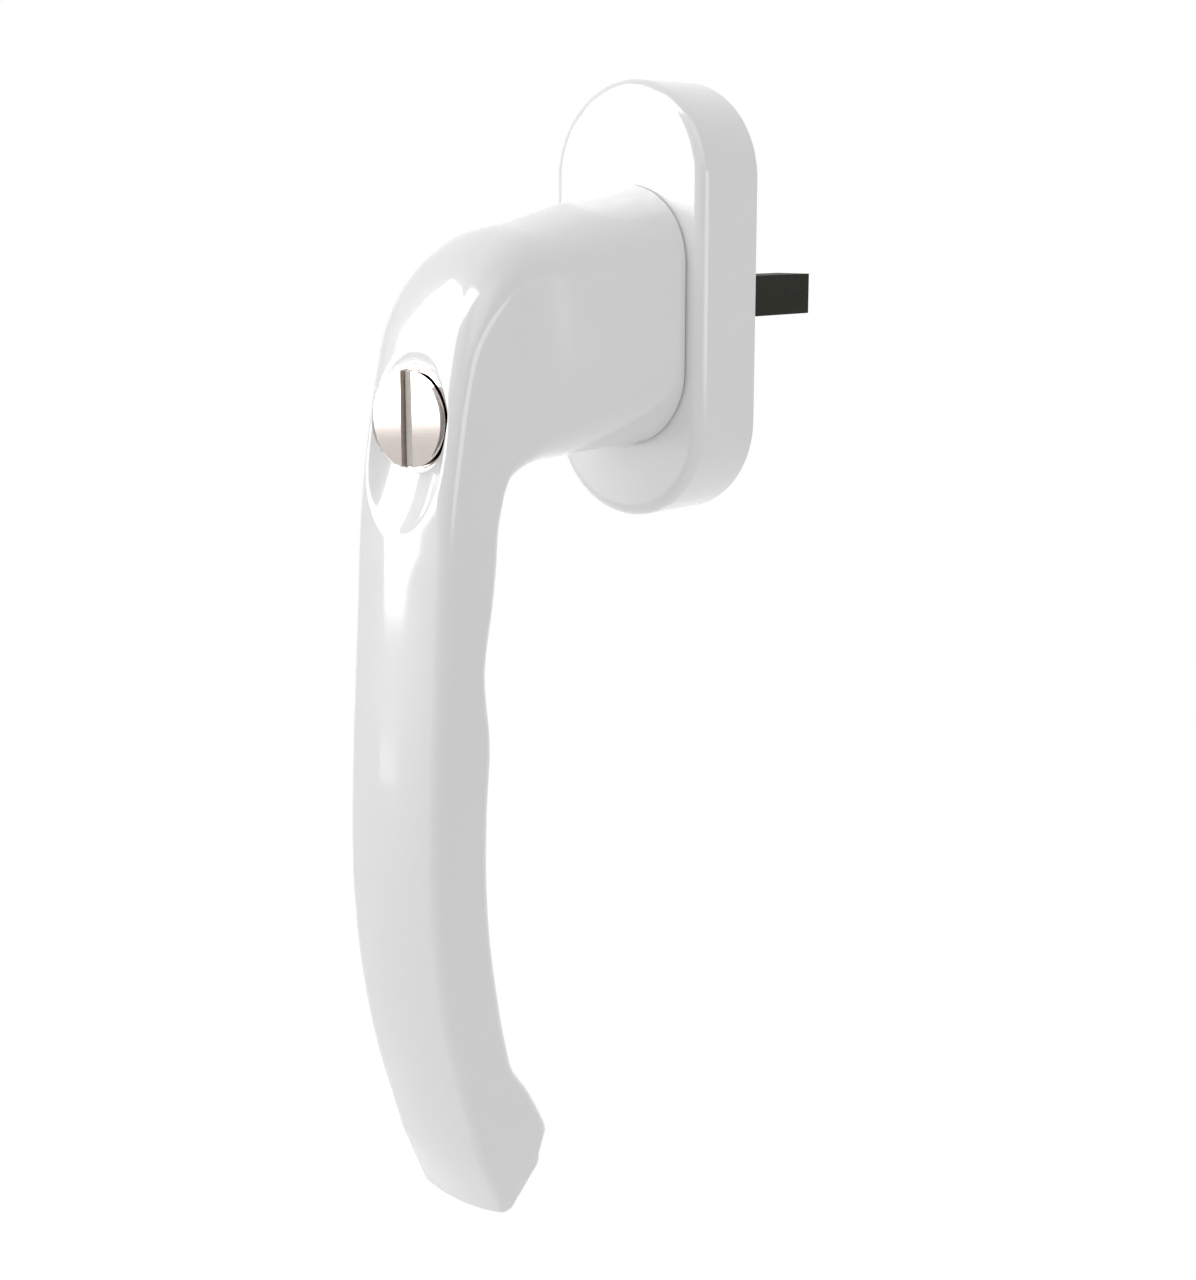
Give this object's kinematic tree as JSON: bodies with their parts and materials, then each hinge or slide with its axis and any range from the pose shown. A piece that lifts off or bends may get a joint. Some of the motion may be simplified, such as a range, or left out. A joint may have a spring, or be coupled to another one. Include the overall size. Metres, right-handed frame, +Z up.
{
  "type": "locking window handle",
  "caption": "White window lever handle with a round-ended rose, square spindle, hooked grip and a key lock set in a scooped recess in the lever's elbow.",
  "frame": {"origin": "on the spindle's axis, at the back face of the rose, midway between the two fixing holes", "axes": "+Y from the room into the window sash along the spindle, +Z up with the lever hanging towards -Z, +X to the right of someone who faces the window from the room"},
  "size_m": [0.032, 0.1024, 0.1816],
  "materials": {
    "white_coat": "gloss white powder coat on cast aluminium",
    "cast_zinc": "raw die-cast zinc",
    "steel": "zinc-plated steel",
    "spindle_steel": "dark passivated steel",
    "spring_steel": "bright spring steel",
    "nylon": "natural moulded plastic",
    "chrome": "polished chrome",
    "satin_nickel": "satin nickel",
    "brass": "plain brass"
  },
  "bodies": {
    "root": {"rose_cover": "white_coat", "base_plate": "cast_zinc", "bearing_bush": "nylon", "detent_balls": "steel", "detent_springs": "spring_steel", "back_plate": "steel", "plate_screws": "steel"},
    "lever": {"lever_handle": "white_coat", "spindle": "spindle_steel", "spindle_pin": "steel", "detent_disc": "steel", "thrust_washer": "steel", "retaining_ring": "spring_steel", "lock_housing": "satin_nickel", "lock_bezel": "chrome", "housing_screw": "steel", "pin_guide": "nylon", "pin_spring": "spring_steel"},
    "plug": {"lock_plug": "satin_nickel", "lock_cam": "steel", "cam_screw": "steel", "plug_clip": "spring_steel", "wafer_springs": "spring_steel"},
    "pin": {"locking_pin": "steel"},
    "wafer_1": {"wafer_1": "brass"},
    "wafer_2": {"wafer_2": "brass"},
    "wafer_3": {"wafer_3": "brass"},
    "wafer_4": {"wafer_4": "brass"},
    "wafer_5": {"wafer_5": "brass"}
  },
  "joints": [
    {"name": "lever_turn", "type": "hinge", "parent": "root", "child": "lever", "pos_m": [0, 0, 0], "axis": [0, 1, 0], "range_deg": [-180, 180]},
    {"name": "key_turn", "type": "hinge", "parent": "lever", "child": "plug", "pos_m": [0, -0.05, -0.0155], "axis": [0, 1, 0], "range_deg": [0, 90]},
    {"name": "pin_slide", "type": "slide", "parent": "lever", "child": "pin", "axis": [0, 1, 0], "range_m": [0, 0.006], "deforming": ["pin_spring"]},
    {"name": "wafer_1_slide", "type": "slide", "parent": "plug", "child": "wafer_1", "axis": [0, 0, -1], "range_m": [0, 0.0006], "stiffness_N_per_m": 150, "springref_m": 0.0006},
    {"name": "wafer_2_slide", "type": "slide", "parent": "plug", "child": "wafer_2", "axis": [0, 0, -1], "range_m": [0, 0.0006], "stiffness_N_per_m": 150, "springref_m": 0.0006},
    {"name": "wafer_3_slide", "type": "slide", "parent": "plug", "child": "wafer_3", "axis": [0, 0, -1], "range_m": [0, 0.0006], "stiffness_N_per_m": 150, "springref_m": 0.0006},
    {"name": "wafer_4_slide", "type": "slide", "parent": "plug", "child": "wafer_4", "axis": [0, 0, -1], "range_m": [0, 0.0006], "stiffness_N_per_m": 150, "springref_m": 0.0006},
    {"name": "wafer_5_slide", "type": "slide", "parent": "plug", "child": "wafer_5", "axis": [0, 0, -1], "range_m": [0, 0.0006], "stiffness_N_per_m": 150, "springref_m": 0.0006}
  ],
  "couplings": [
    {"joint": "pin_slide", "follows": "key_turn", "m_per_rad": 0.003819}
  ]
}
